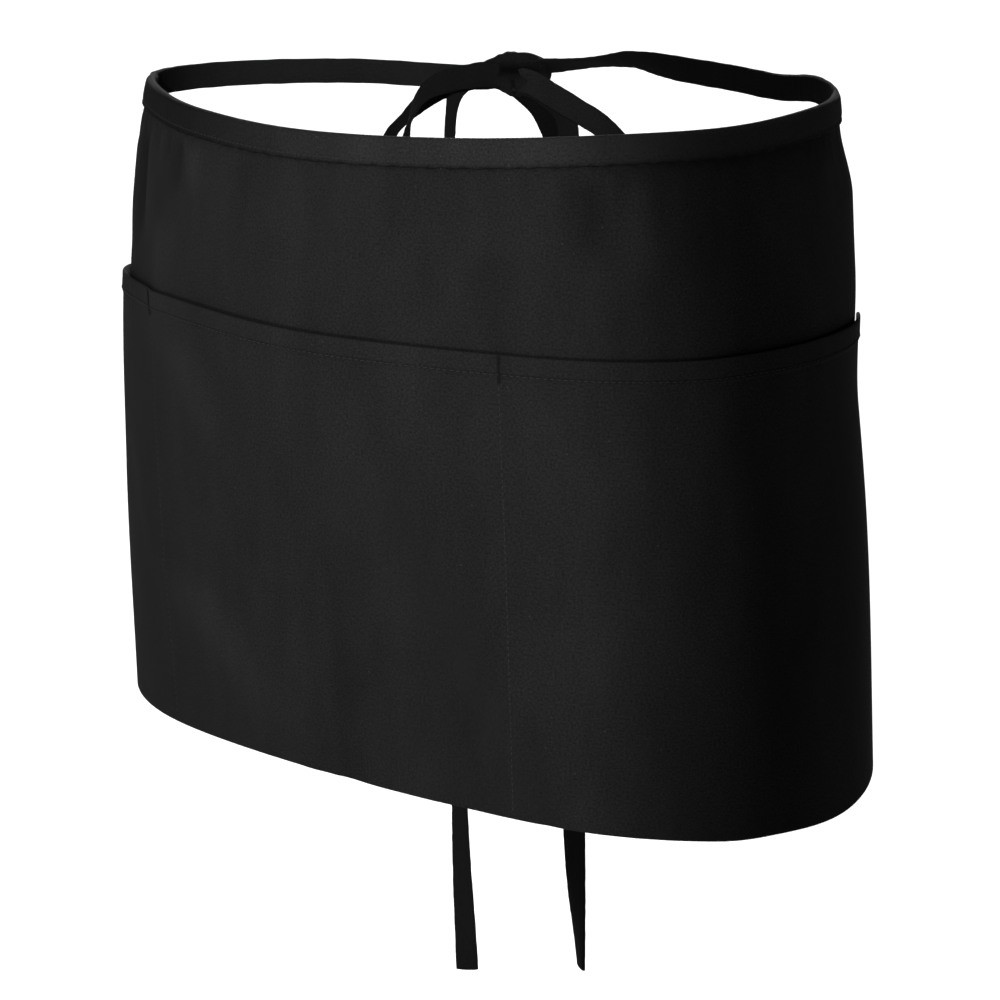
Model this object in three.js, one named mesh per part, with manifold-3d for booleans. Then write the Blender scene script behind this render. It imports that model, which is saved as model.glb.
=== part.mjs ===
// A waist apron as it sits when worn: a skirt panel hung from a narrow folded waistband,
// a pocket panel over its lower two thirds, and ties that run round the back to a bow.
// Millimetres, +Z up. The wearer faces -Y and +X is the wearer's left.
// The origin is the middle of the waist opening, level with the waistband's top edge.

import * as THREE from 'three';
import { mergeVertices } from 'three/addons/utils/BufferGeometryUtils.js';
import Module from 'manifold-3d';

const wasm = await Module();
wasm.setup();

// Driving dimensions
const waistWidth = 340;
const waistDepth = 260;
const apronDrop = 300;
const mouthDrop = 95;
const compartmentWidth = 205;
const leftSideWidth = 97;
const rightSideWidth = 203;
const centreShift = -7;
const bandHeight = 12.5;
const bandSway = 5;
const clothWall = 1.2;
const tieThickness = 2.4;
const clearance = 0.35;
const mouthHem = 9;
const hemDoubling = 0.6;
const pocketStand = 2.2;
const foldDepth = 2.5;
const knotWidth = 38;
const knotHeight = 22;
const knotThickness = 16;
const loopReach = 70;
const loopDrop = 118;
const tailDrop = 500;
const knotSeat = 0.35;
const knotEntry = 6;
const bandShoulder = 0.6;
const mouthLean = 0.45;
const hipLevel = 0.32;
const foldFadeIn = 0.25;
const foldFadeOut = 0.5;
const weldTolerance = 0.0001;

// How finely the pieces are faceted
const skirtColumns = 62;
const rowsAboveMouth = 5;
const rowsBelowMouth = 8;
const bandColumns = 62;
const tieStations = 24;
const loopStations = 32;
const tailStations = 22;
const knotSides = 14;

const fullTurn = 360;
const knotTurn = -152.5;
const tapeLayer = tieThickness + clearance;
const tieGap = 5 * clearance;

// The skirt's half sections: width and depth as shares of the waist's, and how far
// each is carried forward as a share of waistDepth
const levelRows = [
  { drop: 0, width: 1, depth: 1, forward: -0.01 },
  { drop: 0.1, width: 1.035, depth: 1.003, forward: 0.004 },
  { drop: hipLevel, width: 1.086, depth: 1.012, forward: 0.015 },
  { drop: 0.62, width: 1.134, depth: 1.014, forward: 0.008 },
  { drop: 1, width: 1.149, depth: 0.985, forward: 0 },
];

// How full each section is at a turn from the front, as shares of a plain ellipse
const fullnessRows = [
  { turn: -30, waist: 0.998, hip: 1, hem: 0.994 },
  { turn: 0, waist: 1.032, hip: 1.028, hem: 0.999 },
  { turn: 30, waist: 0.998, hip: 1, hem: 0.994 },
  { turn: 60, waist: 0.973, hip: 0.981, hem: 0.998 },
  { turn: 90, waist: 1.036, hip: 1.006, hem: 1.011 },
  { turn: 120, waist: 1.003, hip: 0.989, hem: 1.004 },
  { turn: 150, waist: 0.991, hip: 0.995, hem: 0.994 },
  { turn: 180, waist: 1.026, hip: 1.012, hem: 1.003 },
  { turn: 210, waist: 0.991, hip: 0.995, hem: 0.994 },
];

// The edges round the waist: the band's rise in shares of bandSway, and the lengths
// down to the pocket mouth and the hem in shares of mouthDrop and apronDrop
const edgeRows = [
  { turn: -180, sway: 1.18, mouth: 1.06, hem: 1.02 },
  { turn: -150, sway: -0.5, mouth: 1.08, hem: 1.03 },
  { turn: -120, sway: 0.18, mouth: 1.1, hem: 1.03 },
  { turn: -90, sway: 0.74, mouth: 1.02, hem: 1.032 },
  { turn: -60, sway: 1, mouth: 0.95, hem: 1.015 },
  { turn: -30, sway: 0.19, mouth: 0.91, hem: 0.988 },
  { turn: 0, sway: -0.58, mouth: 0.905, hem: 0.978 },
  { turn: 30, sway: -0.96, mouth: 0.93, hem: 0.993 },
  { turn: 60, sway: -0.92, mouth: 0.995, hem: 1.03 },
  { turn: 75, sway: -0.74, mouth: 1.01, hem: 1.045 },
  { turn: 90, sway: 0.02, mouth: 1.027, hem: 1.053 },
  { turn: 120, sway: 0.77, mouth: 1.06, hem: 1.03 },
  { turn: 135, sway: 0.22, mouth: 1.06, hem: 1.025 },
  { turn: 150, sway: 0.49, mouth: 1.06, hem: 1.02 },
  { turn: 165, sway: 0.75, mouth: 1.06, hem: 1.02 },
  { turn: 180, sway: 1.18, mouth: 1.06, hem: 1.02 },
];

// Folds in the skirt: places, breadths and leans along the waist in shares of
// compartmentWidth, top and bottom in shares of the drop, rise in shares of foldDepth
const foldRows = [
  { at: -0.8, lean: 0.02, breadth: 0.05, top: 0.045, bottom: 0.3, rise: 0.7 },
  { at: -0.71, lean: 0.02, breadth: 0.04, top: 0.045, bottom: 0.27, rise: -0.9 },
  { at: -0.62, lean: 0.03, breadth: 0.05, top: 0.045, bottom: 0.24, rise: 0.6 },
  { at: -0.43, lean: -0.02, breadth: 0.04, top: 0.045, bottom: 0.16, rise: -0.6 },
  { at: -0.35, lean: 0, breadth: 0.04, top: 0.045, bottom: 0.14, rise: 0.6 },
  { at: -0.5, lean: 0, breadth: 0.05, top: 0.16, bottom: 0.4, rise: 0.7 },
  { at: -0.42, lean: 0.2, breadth: 0.07, top: 0.34, bottom: 0.56, rise: 0.5 },
  { at: -0.5, lean: 0.45, breadth: 0.12, top: 0.7, bottom: 0.98, rise: 0.6 },
  { at: 0.06, lean: 0, breadth: 0.05, top: 0.55, bottom: 1, rise: -0.4 },
  { at: 0.46, lean: 0, breadth: 0.05, top: 0.14, bottom: 0.36, rise: -0.5 },
  { at: 0.66, lean: 0.02, breadth: 0.05, top: 0.045, bottom: 0.2, rise: -0.6 },
  { at: 0.76, lean: 0.02, breadth: 0.05, top: 0.045, bottom: 0.24, rise: 0.6 },
  { at: 0.88, lean: 0.03, breadth: 0.06, top: 0.045, bottom: 1, rise: 0.35 },
  { at: 1, lean: 0.02, breadth: 0.07, top: 0.05, bottom: 1, rise: -0.35 },
  { at: 1.16, lean: 0, breadth: 0.08, top: 0.1, bottom: 1, rise: 0.25 },
  { at: 1.42, lean: 0, breadth: 0.22, top: 0.045, bottom: 0.45, rise: 1.9 },
];

// How far the pocket mouth stands off the skirt, in shares of pocketStand
const standRows = [
  { at: 0, stand: 1 },
  { at: 0.1, stand: 0.5 },
  { at: 0.19, stand: 0.05 },
  { at: 0.38, stand: 0.3 },
  { at: 0.6, stand: 0.05 },
  { at: 0.8, stand: 0.35 },
  { at: 1, stand: 0.1 },
];

// The knot's outline along its length: both in shares of half its sizes
const knotRows = [
  { along: -1, girth: 0 },
  { along: -0.97, girth: 0.5 },
  { along: -0.5, girth: 0.72 },
  { along: -0.3, girth: 0.94 },
  { along: 0.05, girth: 1 },
  { along: 0.35, girth: 0.9 },
  { along: 0.55, girth: 0.76 },
  { along: 0.97, girth: 0.55 },
  { along: 1, girth: 0 },
];

// The loops, out of the knot, round and back into it: places along the waist in shares
// of loopReach, out from the wearer in layers of tape, down in shares of loopDrop, and
// the tape's roll in degrees
const rightLoopRows = [
  { along: 0.06, out: -1.7, down: 0.006, roll: 0 },
  { along: 0.29, out: -2.5, down: 0.006, roll: 10 },
  { along: 0.5, out: -3.5, down: 0.03, roll: 20 },
  { along: 0.645, out: -4.6, down: 0.081, roll: 48 },
  { along: 0.73, out: -5.1, down: 0.158, roll: 65 },
  { along: 0.8, out: -4.2, down: 0.273, roll: 88 },
  { along: 0.845, out: -2.9, down: 0.67, roll: 90 },
  { along: 0.9, out: -1.5, down: 0.97, roll: 90 },
  { along: 1, out: -0.4, down: 1.03, roll: 90 },
  { along: 1.1, out: 0.6, down: 0.84, roll: 90 },
  { along: 1.12, out: 0.9, down: 0.56, roll: 85 },
  { along: 0.99, out: 1, down: 0.281, roll: 75 },
  { along: 0.845, out: 0.8, down: 0.19, roll: 70 },
  { along: 0.65, out: 2, down: 0.09, roll: 35 },
  { along: 0.38, out: 2.7, down: 0.03, roll: 5 },
  { along: 0.09, out: 1.5, down: 0.01, roll: 0 },
];
const leftLoopRows = [
  { along: 0.08, out: -1.7, down: 0.016, roll: 0 },
  { along: -0.13, out: -2.3, down: 0.045, roll: 0 },
  { along: -0.305, out: -2.8, down: 0.102, roll: 0 },
  { along: -0.5, out: -3.1, down: 0.17, roll: 5 },
  { along: -0.69, out: -3.4, down: 0.238, roll: 10 },
  { along: -0.88, out: -3.5, down: 0.36, roll: 25 },
  { along: -1, out: -2.8, down: 0.6, roll: 60 },
  { along: -1.02, out: -1.6, down: 0.88, roll: 90 },
  { along: -0.9, out: 0, down: 1.02, roll: 90 },
  { along: -0.72, out: 1.5, down: 0.98, roll: 90 },
  { along: -0.55, out: 2.2, down: 0.76, roll: 85 },
  { along: -0.36, out: 2.6, down: 0.5, roll: 60 },
  { along: -0.26, out: 1.7, down: 0.285, roll: 25 },
  { along: -0.18, out: 0.9, down: 0.185, roll: 5 },
  { along: 0.06, out: 0.4, down: 0.045, roll: 0 },
];

// The hanging ends, in the same columns, with down in shares of tailDrop
const rightTailRows = [
  { along: 0.11, out: 0.5, down: 0.005, roll: 0 },
  { along: 0.31, out: 0.7, down: 0.01, roll: 0 },
  { along: 0.4, out: 0.6, down: 0.018, roll: 10 },
  { along: 0.455, out: 0.6, down: 0.03, roll: 40 },
  { along: 0.505, out: 0.5, down: 0.049, roll: 60 },
  { along: 0.54, out: 0.5, down: 0.12, roll: 60 },
  { along: 0.6, out: 0.5, down: 0.49, roll: 50 },
  { along: 0.58, out: 0.6, down: 0.81, roll: 30 },
  { along: 0.555, out: 0.6, down: 0.998, roll: -5 },
];
const leftTailRows = [
  { along: 0.03, out: -0.7, down: 0.006, roll: 0 },
  { along: -0.15, out: -0.9, down: 0.013, roll: 0 },
  { along: -0.28, out: -0.9, down: 0.025, roll: 5 },
  { along: -0.36, out: -0.9, down: 0.037, roll: 10 },
  { along: -0.395, out: -0.9, down: 0.052, roll: 15 },
  { along: -0.4, out: -1.2, down: 0.1, roll: 20 },
  { along: -0.37, out: -1.5, down: 0.39, roll: 15 },
  { along: -0.355, out: -0.5, down: 0.8, roll: 3 },
  { along: -0.385, out: 0, down: 0.985, roll: 66 },
];

// The ties on their way to the knot, by share of their length: how far they stand off
// the waist in layers of tape, and their roll in degrees
const leftTieRows = [
  { at: 0, out: 0, roll: 0 },
  { at: 0.6, out: 0, roll: 0 },
  { at: 0.84, out: 0.9, roll: -62 },
  { at: 1, out: 2.2, roll: -50 },
];
const rightTieRows = [
  { at: 0, out: 0, roll: 0 },
  { at: 0.5, out: 0.1, roll: 0 },
  { at: 0.67, out: 0.95, roll: 0 },
  { at: 0.81, out: 1.5, roll: 0 },
  { at: 1, out: 1.45, roll: 0 },
];

const rad = THREE.MathUtils.degToRad;
const upward = new THREE.Vector3(0, 0, 1);

// A smooth value of one column of a table, read at a place in another
function rowValue(rows, key, column, at) {
  const last = rows.length - 1;
  let i = 0;
  while (i < last - 1 && at > rows[i + 1][key]) i += 1;
  const span = rows[i + 1][key] - rows[i][key];
  const t = THREE.MathUtils.clamp((at - rows[i][key]) / span, 0, 1);
  const slope = (k) => {
    const a = Math.max(k - 1, 0);
    const b = Math.min(k + 1, last);
    return ((rows[b][column] - rows[a][column]) / (rows[b][key] - rows[a][key])) * span;
  };
  const p = rows[i][column];
  const q = rows[i + 1][column];
  const m = slope(i);
  const n = slope(i + 1);
  const t2 = t * t;
  const t3 = t2 * t;
  return (2 * t3 - 3 * t2 + 1) * p + (t3 - 2 * t2 + t) * m + (3 * t2 - 2 * t3) * q + (t3 - t2) * n;
}

function wrapTurn(turn) {
  const half = fullTurn / 2;
  return ((((turn + half) % fullTurn) + fullTurn) % fullTurn) - half;
}

// The section of the skirt at a share of its drop: a full ellipse, flattened at the hips
function sectionPoint(turn, drop) {
  const a = rad(turn);
  const around = Math.abs(wrapTurn(turn));
  const halfWidth = (waistWidth / 2) * rowValue(levelRows, 'drop', 'width', drop);
  const halfDepth = (waistDepth / 2) * rowValue(levelRows, 'drop', 'depth', drop);
  const forward = waistDepth * rowValue(levelRows, 'drop', 'forward', drop);
  const fullness = [0, hipLevel, 1].map((level, i) => ({
    level,
    share: rowValue(fullnessRows, 'turn', ['waist', 'hip', 'hem'][i], around),
  }));
  const share = rowValue(fullness, 'level', 'share', drop);
  const reach = Math.hypot(halfDepth * Math.sin(a), halfWidth * Math.cos(a));
  const radius = (share * halfWidth * halfDepth) / reach;
  return new THREE.Vector3(radius * Math.sin(a), -radius * Math.cos(a) - forward, 0);
}

// The length round the waist, measured at the pocket mouth from the front, and its reverse
const arcSteps = 720;
const arcRows = [];
for (let i = 0; i <= arcSteps; i += 1) {
  const turn = (i / arcSteps - 0.5) * fullTurn;
  const before = arcRows[i - 1];
  const here = sectionPoint(turn, hipLevel);
  const length = before ? before.length + here.distanceTo(before.here) : 0;
  arcRows.push({ turn, here, length });
}
const frontLength = arcRows[arcSteps / 2].length;

function turnAt(arc) {
  const wanted = arc + frontLength;
  let low = 0;
  let high = arcSteps;
  while (high - low > 1) {
    const middle = (low + high) >> 1;
    if (arcRows[middle].length > wanted) high = middle;
    else low = middle;
  }
  const t = (wanted - arcRows[low].length) / (arcRows[high].length - arcRows[low].length);
  return THREE.MathUtils.lerp(arcRows[low].turn, arcRows[high].turn, t);
}

function arcAt(turn) {
  const place = (turn / fullTurn + 0.5) * arcSteps;
  const low = THREE.MathUtils.clamp(Math.floor(place), 0, arcSteps - 1);
  return THREE.MathUtils.lerp(arcRows[low].length, arcRows[low + 1].length, place - low) - frontLength;
}

const leftDivider = centreShift - compartmentWidth / 2;
const rightDivider = centreShift + compartmentWidth / 2;
const leftEdge = leftDivider - leftSideWidth;
const rightEdge = rightDivider + rightSideWidth;

const topHeight = (turn) => bandSway * rowValue(edgeRows, 'turn', 'sway', wrapTurn(turn));
const hemLength = (turn) => apronDrop * rowValue(edgeRows, 'turn', 'hem', wrapTurn(turn));
const mouthLength = (turn) => mouthDrop * rowValue(edgeRows, 'turn', 'mouth', wrapTurn(turn));

function smoothGate(value, start, end) {
  const t = THREE.MathUtils.clamp((value - start) / (end - start), 0, 1);
  return t * t * (3 - 2 * t);
}

// The rise of the folds at a place on the skirt
function foldRise(turn, drop) {
  const arc = arcAt(wrapTurn(turn)) / compartmentWidth;
  let rise = 0;
  for (const fold of foldRows) {
    const span = fold.bottom - fold.top;
    const middle = fold.at + (fold.lean * (drop - fold.top)) / span;
    const across = (arc - middle) / fold.breadth;
    const fadeIn = smoothGate(drop, fold.top, fold.top + foldFadeIn * span);
    const fadeOut = 1 - smoothGate(drop, fold.bottom - foldFadeOut * span, fold.bottom);
    const fade = fadeIn * (fold.bottom < 1 ? fadeOut : 1);
    rise += foldDepth * fold.rise * Math.exp(-across * across) * fade;
  }
  return rise;
}

function outwardAt(turn, drop) {
  const step = 0.5;
  const along = sectionPoint(turn + step, drop).sub(sectionPoint(turn - step, drop));
  return along.cross(upward).normalize();
}

// A point of the skirt's middle surface, carried outward by an offset
function skirtPoint(turn, length, offset) {
  const drop = length / hemLength(turn);
  const point = sectionPoint(turn, drop);
  point.addScaledVector(outwardAt(turn, drop), offset + foldRise(turn, drop));
  point.z = topHeight(turn) - length;
  return point;
}

// A closed body from one ring of points per station, with both ends capped
function closedSweep(rings, capOutline) {
  const positions = [];
  for (const ring of rings) for (const p of ring) positions.push(p.x, p.y, p.z);
  const count = rings[0].length;
  const indices = [];
  for (let i = 0; i < rings.length - 1; i += 1) {
    for (let j = 0; j < count; j += 1) {
      const k = (j + 1) % count;
      const a = i * count + j;
      const b = i * count + k;
      indices.push(a, b, a + count, b, b + count, a + count);
    }
  }
  const end = (rings.length - 1) * count;
  for (const [a, b, c] of THREE.ShapeUtils.triangulateShape(capOutline, [])) {
    indices.push(c, b, a, end + a, end + b, end + c);
  }
  const geometry = new THREE.BufferGeometry();
  geometry.setAttribute('position', new THREE.Float32BufferAttribute(positions, 3));
  geometry.setIndex(indices);
  return geometry;
}

// A wall that follows the skirt from edge to edge, from the outline of its section
function wallAlongSkirt(columns, outlineAt) {
  const rings = [];
  let capOutline = null;
  for (let i = 0; i <= columns; i += 1) {
    const turn = turnAt(THREE.MathUtils.lerp(leftEdge, rightEdge, i / columns));
    const outline = outlineAt(turn, i / columns);
    rings.push(outline.map(([offset, length]) => skirtPoint(turn, length, offset)));
    capOutline = outline.map(([offset, length]) => new THREE.Vector2(offset, length));
  }
  return closedSweep(rings, capOutline);
}

// Lengths down the skirt where a wall has its rows
function rowLengths(from, to, count) {
  return Array.from({ length: count + 1 }, (_, i) => THREE.MathUtils.lerp(from, to, i / count));
}

// Both cloths keep the same rows below the pocket's doubled mouth
function lowerLengths(turn) {
  const start = mouthLength(turn) + mouthHem + hemDoubling;
  return rowLengths(start, hemLength(turn) - clothWall, rowsBelowMouth);
}

function apronPanel() {
  const half = clothWall / 2;
  return wallAlongSkirt(skirtColumns, (turn) => {
    const lengths = [clothWall + clearance, ...rowLengths(bandHeight, mouthLength(turn), rowsAboveMouth)];
    lengths.push(...lowerLengths(turn));
    lengths[lengths.length - 1] -= clearance;
    const outer = lengths.map((length) => [half, length]);
    const inner = lengths.map((length) => [-half, length]).reverse();
    return [...outer, ...inner];
  });
}

// The pocket's cloth turns under the skirt's lower edge and is doubled at the mouth
function pocketPanel() {
  const inside = clothWall / 2 + clearance;
  const outside = inside + clothWall;
  return wallAlongSkirt(skirtColumns, (turn, share) => {
    const mouth = mouthLength(turn);
    const bottom = hemLength(turn);
    const doubled = mouth + mouthHem;
    const stand = pocketStand * rowValue(standRows, 'at', 'stand', share);
    const lean = (length) => stand * (1 - smoothGate(length, mouth, mouth + mouthLean * (bottom - mouth)));
    const lengths = lowerLengths(turn);
    const outer = lengths.map((length) => [outside + lean(length), length]);
    const inner = lengths.map((length) => [inside + lean(length), length]).reverse();
    const lip = (length) => [outside + hemDoubling + lean(length), length];
    const half = clothWall / 2;
    const fold = [[outside - half, bottom], [-half, bottom], [-half, bottom - clothWall]];
    return [lip(mouth), lip(doubled), ...outer, ...fold, ...inner, [inside + lean(mouth), mouth]];
  });
}

// The waistband: a strip folded over the skirt's top edge
function waistband() {
  const inside = clothWall / 2 + clearance;
  const outside = inside + clothWall;
  const shoulder = bandShoulder * clothWall;
  return wallAlongSkirt(bandColumns, () => [
    [-shoulder, 0],
    [shoulder, 0],
    [outside, shoulder],
    [outside, bandHeight],
    [inside, bandHeight],
    [inside, clothWall],
    [-inside, clothWall],
    [-inside, bandHeight],
    [-outside, bandHeight],
    [-outside, shoulder],
  ]);
}

// A flat tape swept through stations that give its place, its width's direction and face
function tape(stations) {
  const halfWidth = bandHeight / 2;
  const halfThickness = tieThickness / 2;
  const flat = halfWidth - halfThickness;
  const outline = [
    new THREE.Vector2(-halfWidth, 0),
    new THREE.Vector2(-flat, -halfThickness),
    new THREE.Vector2(flat, -halfThickness),
    new THREE.Vector2(halfWidth, 0),
    new THREE.Vector2(flat, halfThickness),
    new THREE.Vector2(-flat, halfThickness),
  ];
  const rings = stations.map(({ place, across, face }) => outline.map(({ x, y }) => (
    place.clone().addScaledVector(across, x).addScaledVector(face, y)
  )));
  return closedSweep(rings, outline);
}

// Stations along a line of places: the tape stands across the line and out from the
// wearer's back, then rolls about the line by the degrees of its row
function rolledStations(places, rolls, outward) {
  return places.map((place, i) => {
    const before = places[Math.max(i - 1, 0)];
    const after = places[Math.min(i + 1, places.length - 1)];
    const tangent = after.clone().sub(before).normalize();
    const across = outward.clone().cross(tangent).normalize();
    across.applyAxisAngle(tangent, rad(rolls[i]));
    const face = tangent.clone().cross(across).normalize();
    return { place, across, face };
  });
}

// The knot's own frame: along the waist to the wearer's right, out from the back, and up
const knotOut = outwardAt(knotTurn, 0);
const knotAlong = upward.clone().cross(knotOut).normalize();
const knotBase = skirtPoint(knotTurn, bandHeight / 2, 0);
const knotMiddle = knotBase.clone().addScaledVector(knotOut, knotSeat * knotThickness);

function fromKnot(along, out, down) {
  const point = knotMiddle.clone().addScaledVector(knotAlong, along);
  point.addScaledVector(knotOut, out);
  point.z -= down;
  return point;
}

function knotBody(margin) {
  const profile = knotRows.map(({ along, girth }) => new THREE.Vector2(girth, along));
  const geometry = new THREE.LatheGeometry(profile, knotSides);
  const halfLength = knotWidth / 2 + margin;
  geometry.scale(knotHeight / 2 + margin, halfLength, knotThickness / 2 + margin);
  const basis = new THREE.Matrix4().makeBasis(upward, knotAlong, upward.clone().cross(knotAlong));
  basis.setPosition(knotMiddle);
  geometry.applyMatrix4(basis);
  return geometry;
}

// Joins a geometry's shared vertices into a solid that can be cut
function toSolid(geometry) {
  const bare = new THREE.BufferGeometry();
  bare.setAttribute('position', geometry.getAttribute('position').clone());
  if (geometry.index) bare.setIndex(geometry.index.clone());
  const merged = mergeVertices(bare, weldTolerance);
  const triVerts = new Uint32Array(merged.index.array);
  const vertProperties = new Float32Array(merged.getAttribute('position').array);
  const mesh = new wasm.Mesh({ numProp: 3, vertProperties, triVerts });
  mesh.merge();
  return new wasm.Manifold(mesh);
}

function toGeometry(solid) {
  const { vertProperties, triVerts } = solid.getMesh();
  const geometry = new THREE.BufferGeometry();
  geometry.setAttribute('position', new THREE.Float32BufferAttribute(vertProperties, 3));
  geometry.setIndex(Array.from(triVerts));
  return geometry;
}

// A tape that ends a clearance away from the knot's surface
function clearOfKnot(geometry) {
  return toGeometry(toSolid(geometry).subtract(toSolid(knotBody(clearance))));
}

// A tie on its way round the waist, from a clearance past the waistband's end to the knot
function waistTie(startTurn, endTurn, rows) {
  const places = [];
  const rolls = [];
  for (let i = 0; i <= tieStations; i += 1) {
    const at = i / tieStations;
    const turn = THREE.MathUtils.lerp(startTurn, endTurn, at);
    const out = tapeLayer * rowValue(rows, 'at', 'out', at);
    places.push(skirtPoint(turn, bandHeight / 2, out));
    rolls.push(rowValue(rows, 'at', 'roll', at));
  }
  places.push(knotMiddle);
  rolls.push(rolls[rolls.length - 1]);
  const stations = places.map((place, i) => {
    const before = places[Math.max(i - 1, 0)];
    const after = places[Math.min(i + 1, places.length - 1)];
    const tangent = after.clone().sub(before).normalize();
    const across = upward.clone().addScaledVector(tangent, -tangent.z).normalize();
    across.applyAxisAngle(tangent, rad(rolls[i]));
    return { place, across, face: tangent.clone().cross(across).normalize() };
  });
  return clearOfKnot(tape(stations));
}

// A smooth line of places through the rows of a loop or a hanging end
function tapeRoute(rows, count, fall) {
  const points = rows.map((row) => fromKnot(row.along * loopReach, row.out * tapeLayer, row.down * fall));
  const curve = new THREE.CatmullRomCurve3(points, false, 'centripetal');
  const indexed = rows.map(({ roll }, i) => ({ i, roll }));
  const places = [];
  const rolls = [];
  for (let i = 0; i <= count; i += 1) {
    const t = curve.getUtoTmapping(i / count);
    places.push(curve.getPoint(t));
    rolls.push(rowValue(indexed, 'i', 'roll', t * (rows.length - 1)));
  }
  return rolledStations(places, rolls, knotOut);
}

const bowLoop = (rows) => clearOfKnot(tape(tapeRoute(rows, loopStations, loopDrop)));
const tieEnd = (rows) => clearOfKnot(tape(tapeRoute(rows, tailStations, tailDrop)));

// Finishes
const skirtTwill = new THREE.MeshStandardMaterial({ color: 0x1f1f21, roughness: 0.92, metalness: 0 });
const pocketTwill = new THREE.MeshStandardMaterial({ color: 0x212123, roughness: 0.92, metalness: 0 });
const bandTwill = new THREE.MeshStandardMaterial({ color: 0x242426, roughness: 0.9, metalness: 0 });
const tieTwill = new THREE.MeshStandardMaterial({ color: 0x1c1c1e, roughness: 0.92, metalness: 0 });

const apron = new THREE.Group();

function add(name, geometry, material) {
  const mesh = new THREE.Mesh(geometry, material);
  mesh.name = name;
  apron.add(mesh);
}

add('apron_panel', apronPanel(), skirtTwill);
add('pocket_panel', pocketPanel(), pocketTwill);
add('waistband', waistband(), bandTwill);
const leftEntry = knotTurn + fullTurn - knotEntry;
const rightEntry = knotTurn + knotEntry;
add('tie_left', waistTie(turnAt(rightEdge + tieGap), leftEntry, leftTieRows), tieTwill);
add('tie_right', waistTie(turnAt(leftEdge - tieGap), rightEntry, rightTieRows), tieTwill);
add('bow_knot', toGeometry(toSolid(knotBody(0))), tieTwill);
add('bow_loop_left', bowLoop(leftLoopRows), tieTwill);
add('bow_loop_right', bowLoop(rightLoopRows), tieTwill);
add('tie_end_left', tieEnd(leftTailRows), tieTwill);
add('tie_end_right', tieEnd(rightTailRows), tieTwill);

export default apron;
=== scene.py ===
import math
import bpy
import numpy as np
from mathutils import Matrix, Vector


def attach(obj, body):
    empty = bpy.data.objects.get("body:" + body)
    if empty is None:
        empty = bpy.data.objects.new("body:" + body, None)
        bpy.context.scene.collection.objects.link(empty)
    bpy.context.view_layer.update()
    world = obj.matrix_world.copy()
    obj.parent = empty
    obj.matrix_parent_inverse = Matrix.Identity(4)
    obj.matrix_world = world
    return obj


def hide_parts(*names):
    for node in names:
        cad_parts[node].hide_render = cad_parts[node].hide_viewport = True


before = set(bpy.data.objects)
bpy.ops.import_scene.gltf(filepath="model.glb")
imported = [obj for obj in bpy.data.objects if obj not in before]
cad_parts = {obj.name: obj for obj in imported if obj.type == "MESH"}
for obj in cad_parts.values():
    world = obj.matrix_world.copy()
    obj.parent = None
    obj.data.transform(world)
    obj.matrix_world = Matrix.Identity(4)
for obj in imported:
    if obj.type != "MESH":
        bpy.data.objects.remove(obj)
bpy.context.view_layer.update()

# A waist apron as it sits when worn: skirt, divided pocket, folded band, ties and bow.
# Metres, +Z up. The wearer faces -Y and +X is the wearer's left.

print("frame loaded with", len(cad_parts), "nodes")

viewSet = {
    "azimuth": 35.0,
    "elevation": 14.5,
    "roll": -1.3,
    "distance": 1.4,
    "target": (0.007, 0.003, -0.197),
    "lens": 104.76,
}


def towards(azimuth, elevation):
    a, e = math.radians(azimuth), math.radians(elevation)
    return Vector((math.sin(a) * math.cos(e), -math.cos(a) * math.cos(e), math.sin(e)))


def makeCamera():
    a = math.radians(viewSet["azimuth"])
    roll = math.radians(viewSet["roll"])
    back = towards(viewSet["azimuth"], viewSet["elevation"])
    side = Vector((math.cos(a), math.sin(a), 0))
    up = back.cross(side)
    sideRolled = side * math.cos(roll) + up * math.sin(roll)
    upRolled = up * math.cos(roll) - side * math.sin(roll)
    data = bpy.data.cameras.new("camera")
    data.lens = viewSet["lens"]
    data.sensor_width = 36.0
    data.clip_start = 0.05
    data.clip_end = 100
    camera = bpy.data.objects.new("camera", data)
    bpy.context.scene.collection.objects.link(camera)
    turned = Matrix((sideRolled, upRolled, back)).transposed().to_4x4()
    turned.translation = Vector(viewSet["target"]) + back * viewSet["distance"]
    camera.matrix_world = turned
    bpy.context.scene.camera = camera


makeCamera()
print("camera placed")


# Smooth reading of a table: the first column is the place, the rest are values
def readRow(rows, column, at):
    places = np.array([row[0] for row in rows], dtype=float)
    values = np.array([row[column] for row in rows], dtype=float)
    at = np.asarray(at, dtype=float)
    index = np.arange(len(rows))
    before = np.maximum(index - 1, 0)
    after = np.minimum(index + 1, len(rows) - 1)
    slope = (values[after] - values[before]) / (places[after] - places[before])
    i = np.searchsorted(places[1:-1], at, side="left")
    span = places[i + 1] - places[i]
    t = np.clip((at - places[i]) / span, 0, 1)
    t2, t3 = t * t, t * t * t
    return (
        (2 * t3 - 3 * t2 + 1) * values[i]
        + (t3 - 2 * t2 + t) * slope[i] * span
        + (3 * t2 - 2 * t3) * values[i + 1]
        + (t3 - t2) * slope[i + 1] * span
    )


def smoothGate(value, start, end):
    t = np.clip((value - start) / (end - start), 0, 1)
    return t * t * (3 - 2 * t)


# One at a place, falling away on both sides of it
def humpAt(value, place, breadth):
    return np.exp(-((value - place) / breadth) ** 2)


def unit(vectors):
    return vectors / np.linalg.norm(vectors, axis=1, keepdims=True)


def runAlong(line):
    return np.concatenate([[0], np.cumsum(np.linalg.norm(np.diff(line, axis=0), axis=1))])


def wrapTurn(turn):
    return (np.asarray(turn, dtype=float) + 180) % 360 - 180


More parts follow.
